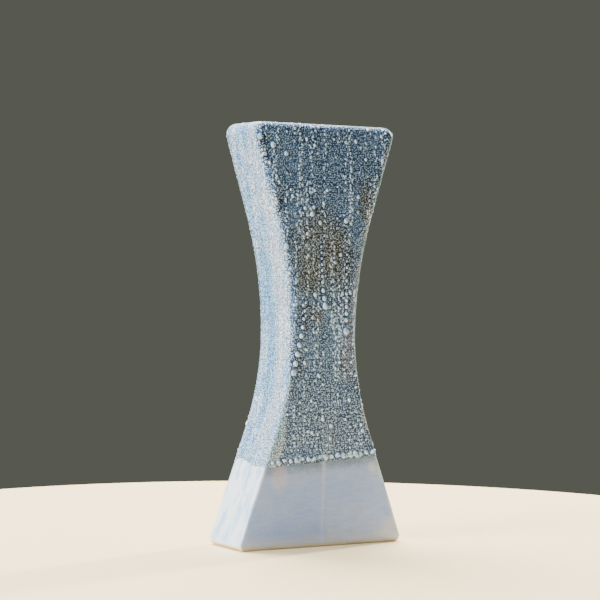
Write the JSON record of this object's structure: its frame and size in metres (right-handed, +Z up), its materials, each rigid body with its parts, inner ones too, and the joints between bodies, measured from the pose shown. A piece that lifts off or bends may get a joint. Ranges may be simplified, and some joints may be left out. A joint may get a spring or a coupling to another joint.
{
  "type": "vase",
  "caption": "Tall flat waisted stoneware vase with a slot mouth, beaded glaze over a dark slip, a smooth blue-grey glazed skirt and a bare clay foot.",
  "frame": {"origin": "centre of the foot, on the surface that the vase stands on", "axes": "+Z up, -Y towards the front face, -X towards the left side"},
  "size_m": [0.1324, 0.0498, 0.3],
  "materials": {
    "stoneware_clay": "matt, bare fired clay",
    "beaded_glaze": "glossy pale beads over a dark matt slip",
    "glaze_drops": "glossy",
    "skirt_glaze": "satin",
    "liner_glaze": "glossy"
  },
  "bodies": {
    "root": {"left_half_wall": "stoneware_clay", "right_half_wall": "stoneware_clay", "floor_slab": "stoneware_clay", "roof_slab": "stoneware_clay", "floor_coil": "stoneware_clay", "roof_coil": "stoneware_clay", "front_joint_strip": "stoneware_clay", "back_joint_strip": "stoneware_clay", "front_beaded_glaze": "beaded_glaze", "back_beaded_glaze": "beaded_glaze", "left_side_glaze": "beaded_glaze", "right_side_glaze": "beaded_glaze", "roof_glaze": "beaded_glaze", "skirt_glaze": "skirt_glaze", "liner_glaze": "liner_glaze", "front_edge_beads": "glaze_drops", "back_edge_beads": "glaze_drops", "front_run_beads": "glaze_drops", "back_run_beads": "glaze_drops"}
  },
  "joints": []
}
